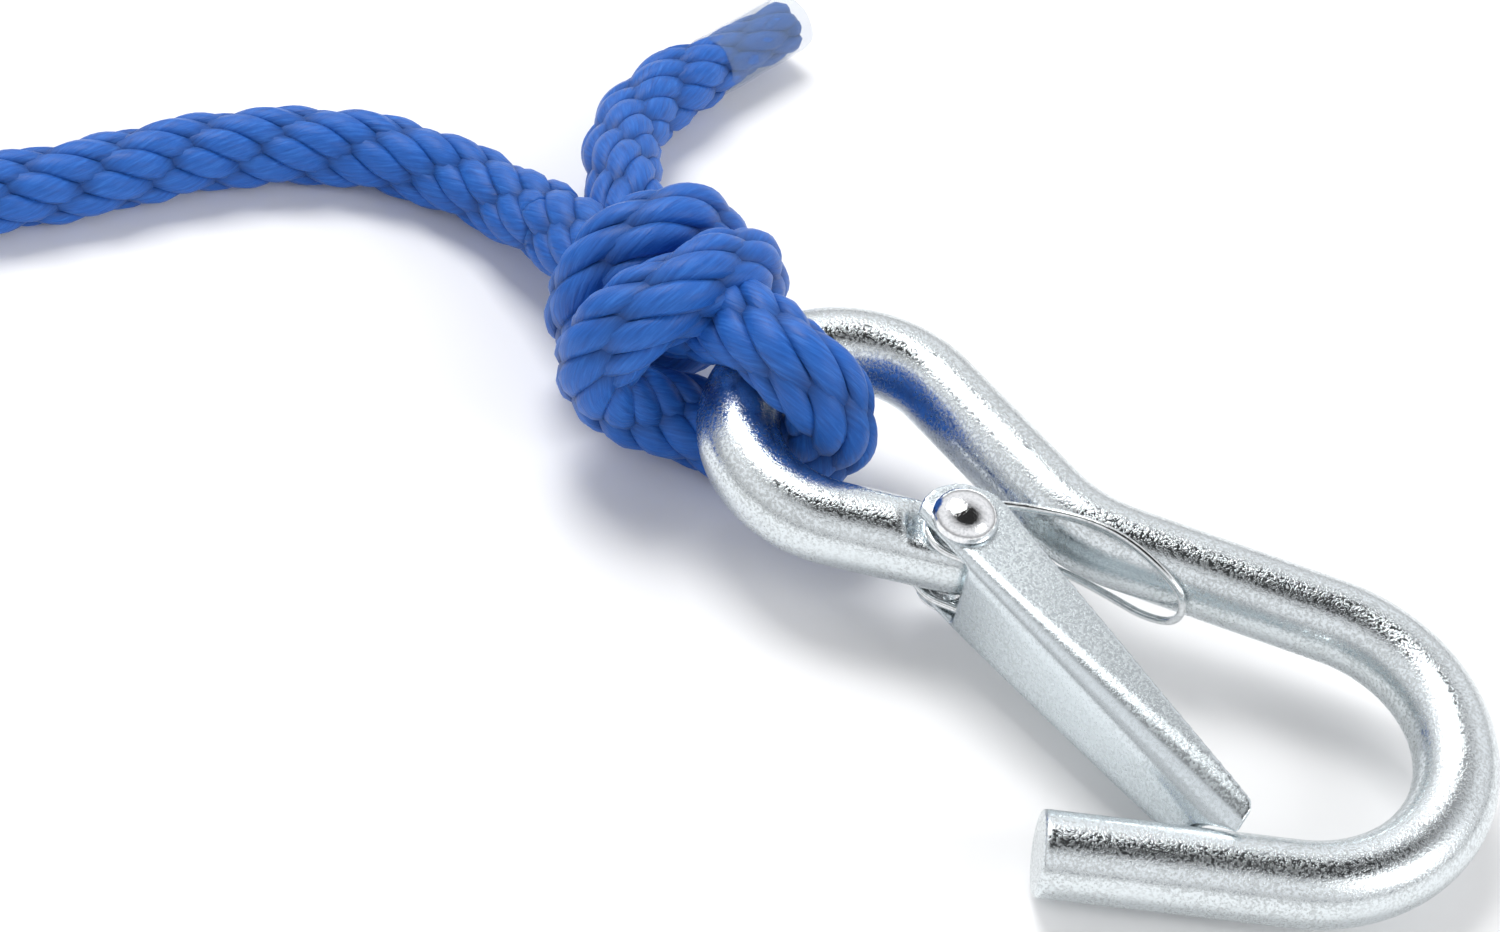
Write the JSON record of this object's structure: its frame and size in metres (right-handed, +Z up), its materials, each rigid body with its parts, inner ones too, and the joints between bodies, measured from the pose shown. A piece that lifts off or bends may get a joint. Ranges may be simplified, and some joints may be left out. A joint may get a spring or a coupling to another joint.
{
  "type": "barrier rope with snap hook",
  "caption": "Braided barrier rope knotted to a bent round-bar snap hook with a sprung gate; free end coiled and tied.",
  "frame": {"origin": "middle of the hook, knot and rope tail on the floor", "axes": "+Z up, +X from the knot to the hook's bend, +Y towards the rope's tail"},
  "size_m": [0.331, 0.1573, 0.0312],
  "materials": {
    "zinc_bar": "satin",
    "zinc_sheet": "satin",
    "rivet_steel": "polished",
    "spring_steel": "gloss",
    "blue_rope": "silky",
    "clear_film": "gloss",
    "tie_fabric": "matte"
  },
  "bodies": {
    "rope": {"rope_knot": "blue_rope", "rope_tail": "blue_rope", "tail_sleeve": "clear_film", "rope_run": "blue_rope", "rope_coil": "blue_rope", "coil_tie": "tie_fabric", "rope_end": "blue_rope", "end_sleeve": "clear_film"},
    "hook": {"hook_body": "zinc_bar", "gate_rivet": "rivet_steel", "gate_spring": "spring_steel"},
    "gate": {"gate": "zinc_sheet"}
  },
  "joints": [
    {"name": "hook_swing", "type": "hinge", "parent": "rope", "child": "hook", "pos_m": [-0.03118, -0.01251, 0.01546], "axis": [-0.3613, -0.9234, -0.1294], "range_deg": [0, 25]},
    {"name": "gate_hinge", "type": "hinge", "parent": "hook", "child": "gate", "pos_m": [-0.00401, -0.03107, 0.01217], "axis": [0.0201, -0.1464, 0.989], "range_deg": [0, 34], "stiffness_Nm_per_rad": 0.04, "springref_deg": -34.38, "deforming": ["gate_spring"]}
  ]
}
